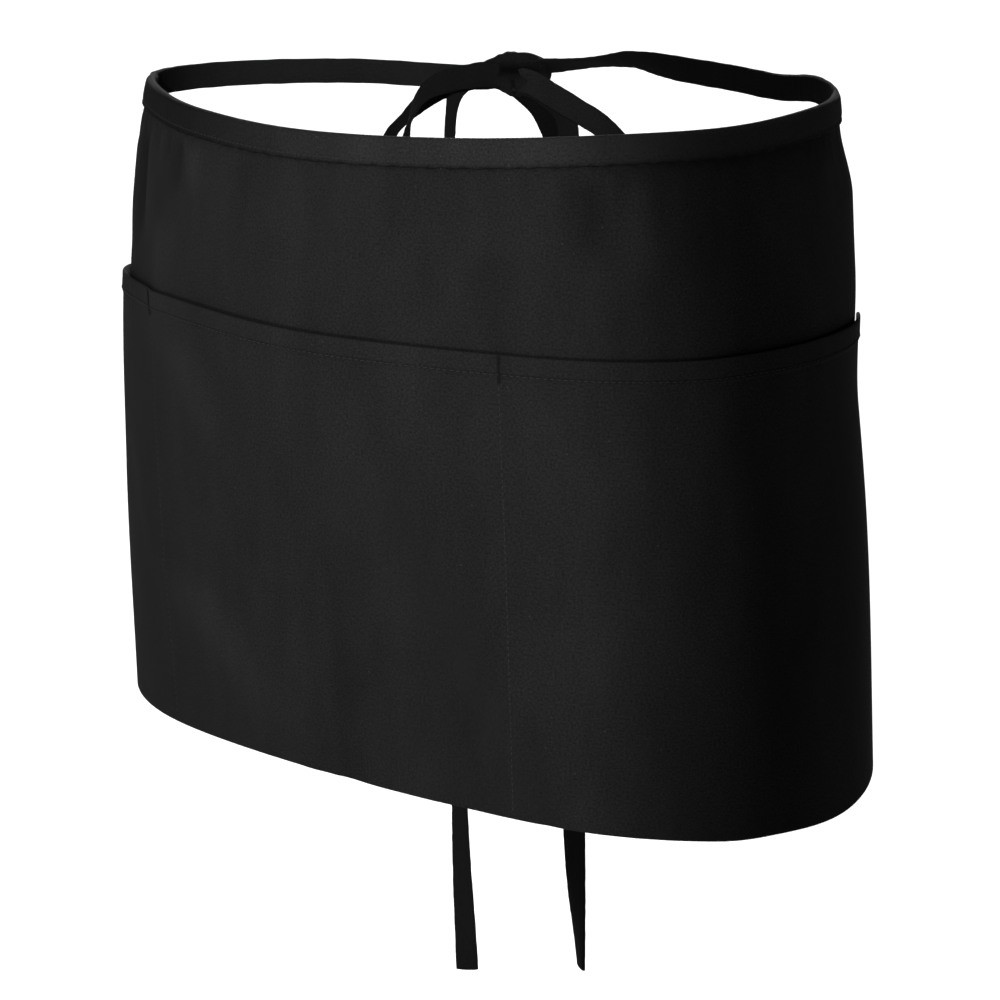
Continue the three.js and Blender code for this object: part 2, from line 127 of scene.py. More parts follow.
# The body of the apron, with the same sizes as the solids
waistForm = {
    "width": 0.340,
    "depth": 0.260,
    "drop": 0.300,
    "mouthDrop": 0.095,
    "compartment": 0.205,
    "leftSide": 0.097,
    "rightSide": 0.203,
    "centreShift": -0.007,
    "bandHeight": 0.0125,
    "bandSway": 0.005,
    "wall": 0.0012,
    "gap": 0.00035,
    # share of the drop, width, depth, forward
    "hipLevel": 0.32,
    "levels": [
        (0, 1, 1, -0.01),
        (0.1, 1.035, 1.003, 0.004),
        (0.32, 1.086, 1.012, 0.015),
        (0.62, 1.134, 1.014, 0.008),
        (1, 1.149, 0.985, 0),
    ],
    # turn from the front, fullness at the waist, the hips and the hem
    "fullness": [
        (-30, 0.998, 1, 0.994),
        (0, 1.032, 1.028, 0.999),
        (30, 0.998, 1, 0.994),
        (60, 0.973, 0.981, 0.998),
        (90, 1.036, 1.006, 1.011),
        (120, 1.003, 0.989, 1.004),
        (150, 0.991, 0.995, 0.994),
        (180, 1.026, 1.012, 1.003),
        (210, 0.991, 0.995, 0.994),
    ],
    # turn, band's rise, length to the mouth, length to the hem
    "edges": [
        (-180, 1.18, 1.06, 1.02),
        (-150, -0.5, 1.08, 1.03),
        (-120, 0.18, 1.1, 1.03),
        (-90, 0.74, 1.02, 1.032),
        (-60, 1, 0.95, 1.015),
        (-30, 0.19, 0.91, 0.988),
        (0, -0.58, 0.905, 0.978),
        (30, -0.96, 0.93, 0.993),
        (60, -0.92, 0.995, 1.03),
        (75, -0.74, 1.01, 1.045),
        (90, 0.02, 1.027, 1.053),
        (120, 0.77, 1.06, 1.03),
        (135, 0.22, 1.06, 1.025),
        (150, 0.49, 1.06, 1.02),
        (165, 0.75, 1.06, 1.02),
        (180, 1.18, 1.06, 1.02),
    ],
}


def sectionPoint(turn, drop):
    turn, drop = np.broadcast_arrays(np.asarray(turn, float), np.asarray(drop, float))
    a = np.radians(turn)
    around = np.abs(wrapTurn(turn))
    halfWidth = waistForm["width"] / 2 * readRow(waistForm["levels"], 1, drop)
    halfDepth = waistForm["depth"] / 2 * readRow(waistForm["levels"], 2, drop)
    forward = waistForm["depth"] * readRow(waistForm["levels"], 3, drop)
    waist, hip, hem = (readRow(waistForm["fullness"], c, around) for c in (1, 2, 3))
    middle = waistForm["hipLevel"]
    low = drop <= middle
    span = np.where(low, middle, 1 - middle)
    t = np.clip(np.where(low, drop / middle, (drop - middle) / (1 - middle)), 0, 1)
    p = np.where(low, waist, hip)
    q = np.where(low, hip, hem)
    m = np.where(low, (hip - waist) / middle, hem - waist) * span
    n = np.where(low, hem - waist, (hem - hip) / (1 - middle)) * span
    t2, t3 = t * t, t * t * t
    share = (2 * t3 - 3 * t2 + 1) * p + (t3 - 2 * t2 + t) * m + (3 * t2 - 2 * t3) * q + (t3 - t2) * n
    reach = np.hypot(halfDepth * np.sin(a), halfWidth * np.cos(a))
    radius = share * halfWidth * halfDepth / reach
    return np.stack([radius * np.sin(a), -radius * np.cos(a) - forward, np.zeros_like(a)], -1)


# Length round the hips, from the front
turnSteps = np.linspace(-180, 180, 721)
hipRing = sectionPoint(turnSteps, waistForm["hipLevel"])
arcSteps = runAlong(hipRing)
arcSteps = arcSteps - arcSteps[360]


def turnAt(arc):
    return np.interp(arc, arcSteps, turnSteps)


def arcAt(turn):
    return np.interp(wrapTurn(turn), turnSteps, arcSteps)


def topHeight(turn):
    return waistForm["bandSway"] * readRow(waistForm["edges"], 1, wrapTurn(turn))


def mouthLength(turn):
    return waistForm["mouthDrop"] * readRow(waistForm["edges"], 2, wrapTurn(turn))


def hemLength(turn):
    return waistForm["drop"] * readRow(waistForm["edges"], 3, wrapTurn(turn))


leftDivider = waistForm["centreShift"] - waistForm["compartment"] / 2
rightDivider = waistForm["centreShift"] + waistForm["compartment"] / 2
leftEdge = leftDivider - waistForm["leftSide"]
rightEdge = rightDivider + waistForm["rightSide"]

# Folds: place, lean and breadth round the waist in compartments, top and bottom in drops
foldSet = {
    "depth": 0.0025,
    "fadeIn": 0.25,
    "fadeOut": 0.5,
    # painted highlight on the crests of the folds and painted shade in their hollows
    "crestPale": 0.45,
    # painted shade darker towards the wearer's right side, then a tone darker towards the hem: each two
    # shares, then two turns or two lengths
    "sideShade": (0.5, 1, -74, -26),
    "dropTones": (1.06, 0.84, 0.05, 0.33),
    # the solids' own folds
    "broad": [
        (-0.8, 0.02, 0.05, 0.045, 0.3, 0.7),
        (-0.71, 0.02, 0.04, 0.045, 0.27, -0.9),
        (-0.62, 0.03, 0.05, 0.045, 0.24, 0.6),
        (-0.43, -0.02, 0.04, 0.045, 0.16, -0.6),
        (-0.35, 0, 0.04, 0.045, 0.14, 0.6),
        (-0.5, 0, 0.05, 0.16, 0.4, 0.7),
        (-0.42, 0.2, 0.07, 0.34, 0.56, 0.5),
        (-0.5, 0.45, 0.12, 0.7, 0.98, 0.6),
        (0.06, 0, 0.05, 0.55, 1, -0.4),
        (0.46, 0, 0.05, 0.14, 0.36, -0.5),
        (0.66, 0.02, 0.05, 0.045, 0.2, -0.6),
        (0.76, 0.02, 0.05, 0.045, 0.24, 0.6),
        (0.88, 0.03, 0.06, 0.045, 1, 0.35),
        (1, 0.02, 0.07, 0.05, 1, -0.35),
        (1.16, 0, 0.08, 0.1, 1, 0.25),
        (1.42, 0, 0.22, 0.045, 0.45, 1.9),
    ],
    # gathers under the band and slight drags, finer than the solids can show
    "fine": [
        (-0.92, 0.01, 0.02, 0.04, 0.16, 0.22),
        (-0.86, 0.01, 0.016, 0.04, 0.13, -0.24),
        (-0.755, 0.0, 0.014, 0.04, 0.15, 0.26),
        (-0.66, 0.01, 0.016, 0.04, 0.17, -0.24),
        (-0.575, 0.0, 0.018, 0.04, 0.15, -0.2),
        (-0.535, 0.01, 0.015, 0.04, 0.12, 0.24),
        (-0.49, 0.0, 0.014, 0.04, 0.1, -0.18),
        (-0.39, 0.0, 0.014, 0.04, 0.1, 0.22),
        (-0.31, 0.0, 0.016, 0.04, 0.11, -0.18),
        (-0.24, 0.0, 0.02, 0.04, 0.14, 0.14),
        (-0.16, 0.01, 0.02, 0.04, 0.16, -0.12),
        (-0.06, 0.0, 0.03, 0.04, 0.2, 0.1),
        (0.07, 0.0, 0.03, 0.04, 0.22, -0.1),
        (0.2, 0.0, 0.03, 0.04, 0.2, 0.1),
        (0.32, 0.0, 0.022, 0.04, 0.14, -0.12),
        (0.41, 0.0, 0.016, 0.04, 0.12, 0.16),
        (0.52, 0.0, 0.016, 0.04, 0.11, -0.16),
        (0.58, 0.0, 0.014, 0.04, 0.12, 0.22),
        (0.62, 0.0, 0.014, 0.04, 0.13, -0.18),
        (0.7, 0.0, 0.014, 0.04, 0.14, 0.22),
        (0.735, 0.0, 0.014, 0.04, 0.12, -0.22),
        (0.81, 0.01, 0.016, 0.04, 0.16, -0.2),
        (0.85, 0.01, 0.016, 0.04, 0.18, 0.18),
        (0.95, 0.01, 0.02, 0.04, 0.16, 0.2),
        (1.07, 0.0, 0.02, 0.04, 0.14, -0.18),
        (1.24, 0.0, 0.024, 0.04, 0.16, 0.18),
        (1.33, 0.0, 0.02, 0.04, 0.14, -0.16),
        (-0.18, 0.06, 0.06, 0.36, 0.72, -0.12),
        (0.2, -0.04, 0.07, 0.4, 0.9, 0.12),
        (0.34, 0.02, 0.06, 0.5, 1, -0.12),
        (0.6, 0.02, 0.08, 0.42, 1, 0.16),
        (-0.06, 0.02, 0.028, 0.55, 1, 0.14),
        (0.03, 0.0, 0.016, 0.58, 1, 0.16),
        (0.5, 0.04, 0.02, 0.8, 1, -0.18),
        (-0.72, 0.16, 0.05, 0.5, 0.78, 0.3),
    ],
}


def foldRise(turn, drop):
    arc = arcAt(turn) / waistForm["compartment"]
    rise = np.zeros(np.broadcast(arc, drop).shape)
    for at, lean, breadth, top, bottom, height in foldSet["broad"] + foldSet["fine"]:
        span = bottom - top
        across = (arc - at - lean * (drop - top) / span) / breadth
        fade = smoothGate(drop, top, top + foldSet["fadeIn"] * span)
        if bottom < 1:
            fade = fade * (1 - smoothGate(drop, bottom - foldSet["fadeOut"] * span, bottom))
        rise = rise + foldSet["depth"] * height * np.exp(-across * across) * fade
    return rise


def outwardAt(turn, drop):
    along = sectionPoint(np.asarray(turn) + 0.5, drop) - sectionPoint(np.asarray(turn) - 0.5, drop)
    out = np.stack([along[..., 1], -along[..., 0], np.zeros_like(along[..., 0])], -1)
    return out / np.linalg.norm(out, axis=-1, keepdims=True)


def skirtPoint(turn, length, offset):
    turn, length, offset = np.broadcast_arrays(turn, length, offset)
    drop = length / hemLength(turn)
    point = sectionPoint(turn, drop)
    point = point + outwardAt(turn, drop) * (offset + foldRise(turn, drop))[..., None]
    point[..., 2] = topHeight(turn) - length
    return point


# A steady ripple with no two waves alike, for sewn edges
def ripple(at, wave, seed):
    return (
        np.sin(at / wave * 6.283 + seed)
        + 0.6 * np.sin(at / wave * 3.71 + 1.7 * seed)
        + 0.5 * np.sin(at / wave * 9.87 + 2.3 * seed)
    ) / 2.1


# Meshes

def linkMesh(name, points, faces, uvs, material, paintedShades=None):
    mesh = bpy.data.meshes.new(name)
    mesh.from_pydata(points.tolist(), [], faces)
    # each point can carry a painted shade that darkens or pales the cloth's tone
    if paintedShades is not None:
        held = mesh.attributes.new("paintedShade", "FLOAT", "POINT")
        held.data.foreach_set("value", np.asarray(paintedShades, dtype=np.float32).ravel())
    layer = mesh.uv_layers.new(name="cloth")
    layer.data.foreach_set("uv", np.asarray(uvs, dtype=np.float32).ravel())
    mesh.polygons.foreach_set("use_smooth", np.ones(len(mesh.polygons), dtype=bool))
    mesh.materials.append(material)
    mesh.update()
    piece = bpy.data.objects.new(name, mesh)
    bpy.context.scene.collection.objects.link(piece)
    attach(piece, "root")
    return piece


# One closed skin over rings of points, with a cap at each end
def ringSkin(name, rings, along, material, paintedShades):
    count, size = rings.shape[0], rings.shape[1]
    points = rings.reshape(-1, 3)
    girth = np.linalg.norm(np.roll(rings, -1, axis=1) - rings, axis=2).mean(axis=0)
    around = np.concatenate([[0], np.cumsum(girth)])
    i, j = np.meshgrid(np.arange(count - 1), np.arange(size), indexing="ij")
    i, j = i.ravel(), j.ravel()
    k = (j + 1) % size
    quads = np.stack([i * size + j, i * size + k, (i + 1) * size + k, (i + 1) * size + j], 1)
    uvs = np.stack([
        np.stack([along[i], around[j]], 1),
        np.stack([along[i], around[j + 1]], 1),
        np.stack([along[i + 1], around[j + 1]], 1),
        np.stack([along[i + 1], around[j]], 1),
    ], 1).reshape(-1, 2)
    faces = quads.tolist()
    faces.append(list(range(size))[::-1])
    faces.append(list(range((count - 1) * size, count * size)))
    capUvs = np.zeros((2 * size, 2))
    uvs = np.concatenate([uvs, capUvs])
    return linkMesh(name, points, faces, uvs, material, np.broadcast_to(paintedShades, (count, size)))


# A tone that goes from one share to another between two places
def toneFrom(tones, at):
    first, last, start, end = tones
    return first + (last - first) * smoothGate(at, start, end)


# Painted light and shade: the cloth is painted paler on the crests of its folds, darker in the hollows and
# towards the wearer's right side, and its tone darkens towards the hem
def paintedFoldShade(arcs, lengths):
    turns = turnAt(arcs)
    rise = foldRise(turns, lengths / hemLength(turns)) / foldSet["depth"]
    paintedShade = np.clip(1 + foldSet["crestPale"] * rise, 0.6, 1.3)
    return paintedShade * toneFrom(foldSet["sideShade"], turns) * toneFrom(foldSet["dropTones"], lengths)


def wallAlongSkirt(name, arcs, lengths, offsets, material, paintedShades):
    turns = turnAt(arcs)[:, None]
    rings = skirtPoint(turns, lengths, offsets)
    return ringSkin(name, rings, arcs, material, paintedShades)


# Materials

twillFinish = {
    "tone": 0.0044,
    "mottle": 0.55,
    "patch": 0.16,
    "ribPitch": 0.00075,
    "ribDepth": 0.00011,
    "slubDepth": 0.00014,
    "lint": 0.35,
    "roughness": 0.95,
    "specular": 0.015,
    "sheen": 0.002,
}


def put(tree, kind, sockets=None, **settings):
    node = tree.nodes.new(kind)
    for key, value in settings.items():
        setattr(node, key, value)
    for key, value in (sockets or {}).items():
        node.inputs[key].default_value = value
    return node


def twillCloth(name, paintedLightShare=1.0, ribTurn=0.9):
    finish = twillFinish
    material = bpy.data.materials.new(name)
    material.use_nodes = True
    tree = material.node_tree
    tree.nodes.clear()
    link = tree.links.new
    output = put(tree, "ShaderNodeOutputMaterial")
    shader = put(tree, "ShaderNodeBsdfPrincipled", {
        "Roughness": finish["roughness"],
        "Specular IOR Level": finish["specular"],
        "Sheen Weight": finish["sheen"],
        "Sheen Roughness": 0.5,
        "Sheen Tint": (0.8, 0.8, 0.82, 1),
    })
    link(shader.outputs[0], output.inputs["Surface"])
    place = put(tree, "ShaderNodeUVMap", uv_map="cloth")
    body = put(tree, "ShaderNodeTexCoord")

    # diagonal ribs of the twill, wandering a little
    turned = put(tree, "ShaderNodeMapping", {"Rotation": (0, 0, ribTurn)})
    link(place.outputs[0], turned.inputs["Vector"])
    ribs = put(tree, "ShaderNodeTexWave", {
        "Scale": 0.314 / finish["ribPitch"], "Distortion": 1.6, "Detail": 2.0, "Detail Scale": 1.4,
    }, wave_type="BANDS", bands_direction="X")
    link(turned.outputs[0], ribs.inputs["Vector"])

    # uneven yarns, cloudy patches and specks of lint
    slubs = put(tree, "ShaderNodeTexNoise", {"Scale": 950, "Detail": 4.0, "Roughness": 0.65})
    link(place.outputs[0], slubs.inputs["Vector"])
    patches = put(tree, "ShaderNodeTexNoise", {"Scale": 38, "Detail": 5.0, "Roughness": 0.62})
    drawn = put(tree, "ShaderNodeMapping", {"Scale": (1, 1, 0.4)})
    link(body.outputs["Object"], drawn.inputs["Vector"])
    link(drawn.outputs[0], patches.inputs["Vector"])
    cells = put(tree, "ShaderNodeTexVoronoi", {"Scale": 170, "Randomness": 1.0}, feature="F1")
    link(place.outputs[0], cells.inputs["Vector"])
    speck = put(tree, "ShaderNodeMath", {1: 0.055}, operation="LESS_THAN")
    link(cells.outputs["Distance"], speck.inputs[0])
    split = put(tree, "ShaderNodeSeparateColor")
    link(cells.outputs["Color"], split.inputs[0])
    chosen = put(tree, "ShaderNodeMath", {1: 0.72}, operation="GREATER_THAN")
    link(split.outputs[0], chosen.inputs[0])
    lint = put(tree, "ShaderNodeMath", operation="MULTIPLY")
    link(speck.outputs[0], lint.inputs[0])
    link(chosen.outputs[0], lint.inputs[1])

    # the share paints light or shade into the cloth's tone
    tone = finish["tone"] * paintedLightShare
    mottle = put(tree, "ShaderNodeMapRange", {
        1: 0.25, 2: 0.75, 3: 1 - finish["mottle"], 4: 1 + finish["mottle"],
    })
    link(slubs.outputs["Fac"], mottle.inputs[0])
    cloud = put(tree, "ShaderNodeMapRange", {
        1: 0.3, 2: 0.7, 3: 1 - finish["patch"], 4: 1 + finish["patch"],
    })
    link(patches.outputs["Fac"], cloud.inputs[0])
    rib = put(tree, "ShaderNodeMapRange", {1: 0.0, 2: 1.0, 3: 0.86, 4: 1.1})
    link(ribs.outputs["Fac"], rib.inputs[0])
    shade = put(tree, "ShaderNodeMath", operation="MULTIPLY")
    link(mottle.outputs[0], shade.inputs[0])
    link(cloud.outputs[0], shade.inputs[1])
    shade2 = put(tree, "ShaderNodeMath", operation="MULTIPLY")
    link(shade.outputs[0], shade2.inputs[0])
    link(rib.outputs[0], shade2.inputs[1])
    dyeAndPaintedShade = put(tree, "ShaderNodeVectorMath", {0: (tone, tone, tone * 1.02)}, operation="SCALE")
    # painted light and shade: the tone is scaled by the painted shade held on the mesh
    kept = put(tree, "ShaderNodeAttribute", attribute_name="paintedShade")
    shade3 = put(tree, "ShaderNodeMath", operation="MULTIPLY")
    link(shade2.outputs[0], shade3.inputs[0])
    link(kept.outputs["Fac"], shade3.inputs[1])
    link(shade3.outputs[0], dyeAndPaintedShade.inputs["Scale"])
    dusted = put(tree, "ShaderNodeMix", {7: (tone * 5, tone * 5, tone * 5, 1)}, data_type="RGBA")
    weight = put(tree, "ShaderNodeMath", {1: finish["lint"]}, operation="MULTIPLY")
    link(lint.outputs[0], weight.inputs[0])
    link(weight.outputs[0], dusted.inputs[0])
    link(dyeAndPaintedShade.outputs[0], dusted.inputs[6])
    link(dusted.outputs[2], shader.inputs["Base Color"])

    fine = put(tree, "ShaderNodeBump", {"Strength": 0.8, "Distance": finish["ribDepth"]})
    link(ribs.outputs["Fac"], fine.inputs["Height"])
    rough = put(tree, "ShaderNodeBump", {"Strength": 0.8, "Distance": finish["slubDepth"]})
    link(slubs.outputs["Fac"], rough.inputs["Height"])
    link(fine.outputs[0], rough.inputs["Normal"])
    link(rough.outputs[0], shader.inputs["Normal"])
    return material


def threadFinish(name, share=1.0):
    material = bpy.data.materials.new(name)
    material.use_nodes = True
    tree = material.node_tree
    shader = tree.nodes["Principled BSDF"]
    shader.inputs["Roughness"].default_value = 0.85
    shader.inputs["Specular IOR Level"].default_value = 0.02
    place = put(tree, "ShaderNodeTexCoord")
    twist = put(tree, "ShaderNodeTexNoise", {"Scale": 1400, "Detail": 2.0})
    tree.links.new(place.outputs["Object"], twist.inputs["Vector"])
    ramp = put(tree, "ShaderNodeValToRGB")
    for end, tone in enumerate((0.0025 * share, 0.006 * share)):
        ramp.color_ramp.elements[end].color = (tone, tone, tone * 1.02, 1)
    tree.links.new(twist.outputs["Fac"], ramp.inputs["Fac"])
    tree.links.new(ramp.outputs["Color"], shader.inputs["Base Color"])
    bump = put(tree, "ShaderNodeBump", {"Strength": 0.5, "Distance": 0.0001})
    tree.links.new(twist.outputs["Fac"], bump.inputs["Height"])
    tree.links.new(bump.outputs[0], shader.inputs["Normal"])
    return material


# painted light on the band and painted shade on the ties, bow and hanging end: lit and shaded copies of one
# twill
skirtTwill = twillCloth("skirt twill")
pocketTwill = twillCloth("pocket twill", 1.02)
litBandTwill = twillCloth("band twill painted light", 1.3, 0.75)
shadedTieTwill = twillCloth("tie twill painted shade", 0.8, 0.75)
shadedBowTwill = twillCloth("bow twill painted shade", 0.6, 0.75)
shadedEndTwill = twillCloth("tie end twill painted shade", 0.3, 0.75)
sewingThread = threadFinish("sewing thread", 1.75)
darkThread = threadFinish("dark thread", 0.6)
print("cloth and thread mixed")


# The skirt, from inside the band to inside the hem

skirtPanel = {
    "columns": 330,
    # rows above the mouth, beside it and behind the pocket
    "upperRows": (80, 14, 6),
    "hiddenRows": 16,
    "innerRows": 100,
    "aboveMouth": 0.004,
    "belowMouth": 0.002,
    "behindMouth": 0.014,
    # painted shade: the dark line along the mouth, where the lip shades the skirt: depth of tone, start and
    # end above the mouth
    "creviceShade": (0.5, 0.0011, 0.0003),
    # puckers under the band: rise, wave, reach
    "pucker": (0.00022, 0.007, 0.012),
    # and their painted shade: depth, wave, reach
    "puckerShade": (0.3, 0.009, 0.0012),
}


def makeSkirt():
    half = waistForm["wall"] / 2
    arcs = np.linspace(leftEdge, rightEdge, skirtPanel["columns"] + 1)
    around = arcs[:, None]
    turns = turnAt(arcs)[:, None]
    mouth = mouthLength(turns)
    top = waistForm["wall"] + waistForm["gap"]
    low = hemLength(turns) - waistForm["wall"] - waistForm["gap"]
    behind = mouth + skirtPanel["behindMouth"]
    stops = (top, mouth - skirtPanel["aboveMouth"], mouth + skirtPanel["belowMouth"], behind)
    parts = [
        stops[i] + (stops[i + 1] - stops[i]) * np.linspace(0, 1, rows + 1)[None, (i > 0):]
        for i, rows in enumerate(skirtPanel["upperRows"])
    ]
    upper = np.concatenate(parts, axis=1)
    hidden = behind + (low - behind) * np.linspace(0, 1, skirtPanel["hiddenRows"] + 1)[1:]
    inner = low + (top - low) * np.linspace(0, 1, skirtPanel["innerRows"])
    lengths = np.concatenate([upper, hidden, inner], axis=1)
    outerCount = upper.shape[1] + hidden.shape[1]
    offsets = np.full(lengths.shape, -half)
    offsets[:, :outerCount] = half
    # the cloth puckers where the band is sewn over it
    bandLow = waistForm["bandHeight"]
    rise, wave, reach = skirtPanel["pucker"]
    pucker = rise * ripple(around, wave, 1.3) * humpAt(lengths, bandLow, reach)
    offsets = offsets + pucker * (lengths > bandLow)
    # painted shade in the crevice above the mouth and along the puckers under the band
    depth, start, end = skirtPanel["creviceShade"]
    paintedShades = paintedFoldShade(around, lengths) * (1 - depth * smoothGate(lengths, mouth - start, mouth - end))
    depth, wave, reach = skirtPanel["puckerShade"]
    paintedShades = paintedShades * (1 - depth * humpAt(lengths, bandLow, reach) * (1 + ripple(around, wave, 0.7)))
    piece = wallAlongSkirt("apronSkirt", arcs, lengths, offsets, skirtTwill, paintedShades)
    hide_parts("apron_panel")
    return piece


skirt = makeSkirt()
print("skirt made")


# The pocket cloth: turned in at its mouth, turned under the skirt at the hem

pocketPanel = {
    "columns": 330,
    "nearRows": 34,
    "rows": 118,
    "innerRows": 20,
    "nearTop": 0.0013,
    "nearLow": 0.0125,
    "mouthHem": 0.009,
    "hemFade": 0.0018,
    "doubling": 0.0006,
    "stand": 0.0024,
    "lean": 0.45,
    # the sewn lines: depth, drop below the mouth, breadth and the painted shade in its dip
    "seamDip": 0.0004,
    "mouthSeam": 0.0086,
    "mouthSeamBreadth": 0.0007,
    "mouthSeamShade": 0.2,
    "dividerBreadth": 0.0012,
    "dividerSwell": 0.007,
    "edgeSeam": 0.006,
    "edgeSeamDip": 0.0003,
    "edgeSeamBreadth": 0.0008,
    # puckers: rise, wave, reach along the mouth, then rise and wave down the dividers
    "mouthPucker": (0.00016, 0.0065, 0.006),
    "dividerPucker": (0.00012, 0.011),
    "faceEnd": 0.0017,
    "hemRound": 0.0015,
    # the round lip and hem: from, to, steps
    "lipTurns": (180, 20, 7),
    "hemTurns": (-8, -172, 9),
    # turn of the lip in degrees, how much of its tone shows: painted shade on the top and inner side of the
    # lip
    "lipShades": [(20, 1), (65, 0.9), (95, 0.35), (180, 0.25)],
    # share of the width, how far the mouth stands off the skirt
    "stands": [(0, 0.9), (0.1, 0.6), (0.19, 0.3), (0.38, 0.55), (0.6, 0.3), (0.8, 0.45), (1, 0.1)],
}
pocketIn = waistForm["wall"] / 2 + waistForm["gap"]
pocketOut = pocketIn + waistForm["wall"]


def pocketLean(arcs, lengths):
    turns = turnAt(arcs)
    mouth, hem = mouthLength(turns), hemLength(turns)
    share = (arcs - leftEdge) / (rightEdge - leftEdge)
    stand = pocketPanel["stand"] * readRow(pocketPanel["stands"], 1, share)
    return stand * (1 - smoothGate(lengths, mouth, mouth + pocketPanel["lean"] * (hem - mouth)))


# The outer face, with its sewn lines pulled in and small puckers beside them
def pocketFace(arcs, lengths):
    panel = pocketPanel
    below = lengths - mouthLength(turnAt(arcs))
    doubled = 1 - smoothGate(below, panel["mouthHem"], panel["mouthHem"] + panel["hemFade"])
    face = pocketOut + panel["doubling"] * doubled + pocketLean(arcs, lengths)
    face = face - panel["seamDip"] * humpAt(below, panel["mouthSeam"], panel["mouthSeamBreadth"])
    rise, wave, reach = panel["mouthPucker"]
    face = face + rise * ripple(arcs, wave, 0.4) * humpAt(below, panel["mouthHem"], reach)
    # a divider is held flat by its bartack at the top and dips less below it
    rise, wave = panel["dividerPucker"]
    deep = panel["seamDip"] * (0.9 - 0.7 * smoothGate(below, 0.010, 0.018)) * smoothGate(below, 0.0, 0.002)
    for divider in (leftDivider, rightDivider):
        face = face - deep * humpAt(arcs, divider, panel["dividerBreadth"])
        swell = humpAt(arcs, divider, panel["dividerSwell"])
        face = face + rise * swell * ripple(lengths, wave, 2.0 + divider)
    for edge, way in ((leftEdge, 1), (rightEdge, -1)):
        inFrom = (arcs - edge) * way
        face = face - panel["edgeSeamDip"] * humpAt(inFrom, panel["edgeSeam"], panel["edgeSeamBreadth"])
    return face


def makePocket():
    panel = pocketPanel
    arcs = np.linspace(leftEdge, rightEdge, panel["columns"] + 1)[:, None]
    turns = turnAt(arcs)
    mouth, hem = mouthLength(turns), hemLength(turns)
    wall = waistForm["wall"]
    lipThick = (wall + panel["doubling"]) / 2
    # a round lip, the face, the round hem, and the inside back up
    lipTurn = np.radians(np.linspace(*panel["lipTurns"]))
    lipMiddle = pocketIn + lipThick + pocketLean(arcs, mouth)
    lipOffset = lipMiddle + lipThick * np.cos(lipTurn)
    lipLength = mouth + lipThick * (1 - np.sin(lipTurn))
    nearRows = mouth + np.linspace(panel["nearTop"], panel["nearLow"], panel["nearRows"])
    farTop = nearRows[:, -1:]
    farLow = hem - panel["faceEnd"]
    farRows = farTop + (farLow - farTop) * np.linspace(0, 1, panel["rows"])[1:]
    faceRows = np.concatenate([nearRows, farRows], axis=1)
    faceOffset = pocketFace(arcs, faceRows)
    hemTurn = np.radians(np.linspace(*panel["hemTurns"]))
    hemRadius = (pocketOut + wall / 2) / 2
    hemMiddle = (pocketOut - wall / 2) / 2
    hemOffset = hemMiddle + hemRadius * np.cos(hemTurn) + 0 * arcs
    hemLengths = hem - panel["hemRound"] - panel["hemRound"] * np.sin(hemTurn)
    innerLow = hem - wall
    innerRows = innerLow + (mouth + lipThick - innerLow) * np.linspace(0, 1, panel["innerRows"])
    innerOffset = pocketIn + pocketLean(arcs, innerRows)
    lengths = np.concatenate([lipLength, faceRows, hemLengths, innerRows], axis=1)
    offsets = np.concatenate([lipOffset, faceOffset, hemOffset, innerOffset], axis=1)
    paintedShades = paintedFoldShade(arcs, lengths)
    # painted shade on the lip's top and inner side, and along the sewn line below the mouth
    lipPlaces, lipShades = zip(*panel["lipShades"])
    paintedShades[:, :lipTurn.size] *= np.interp(lipTurn, np.radians(lipPlaces), lipShades)
    paintedShades = paintedShades * (1 - panel["mouthSeamShade"] * humpAt(lengths - mouth, panel["mouthSeam"], 0.0006))
    piece = wallAlongSkirt("apronPocket", arcs[:, 0], lengths, offsets, pocketTwill, paintedShades)
    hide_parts("pocket_panel")
    return piece


pocket = makePocket()
print("pocket made")


# The band: a strip folded over the skirt's top edge

bandStrip = {
    "columns": 420,
    "faceRows": 16,
    "ends": 0.012,
    "endThickness": 0.0013,
    "crown": 0.00025,
    "foldTop": 0.0022,
    "topRound": 0.0021,
    "topTurns": (172, 8, 9),
    "seam": 0.0104,
    "seamDip": 0.00035,
    "seamBreadth": 0.0006,
    # the inner face's dimples lie a little further round than the outer one's
    "innerShift": 0.004,
    # dimples along the band and waves of its lower edge: rise, wave
    "dimple": (0.00014, 0.0052),
    "edgeWave": (0.0003, 0.011),
    # painted light and shade: the band is painted dark at the wearer's right side, where the light falls
    # off, and brighter at the front: two shares, two turns
    "tones": (0.1, 1.15, -64, 26),
    # painted shade along the band's dark lower edge: depth of tone, breadth, wave
    "lowEdgeShade": (0.5, 0.0011, 0.008),
}


def bandFace(arcs, lengths):
    strip = bandStrip
    nearEnd = np.minimum(arcs - leftEdge, rightEdge - arcs)
    thickening = smoothGate(nearEnd, -0.001, strip["ends"])
    thick = strip["endThickness"] + (pocketOut - strip["endThickness"]) * thickening
    crown = strip["crown"] * np.sin(np.pi * np.clip(lengths / waistForm["bandHeight"], 0, 1))
    rise, wave = strip["dimple"]
    dimple = rise * ripple(arcs, wave, 0.9) * smoothGate(lengths, 0.003, 0.010)
    return thick + crown - strip["seamDip"] * humpAt(lengths, strip["seam"], strip["seamBreadth"]) + dimple


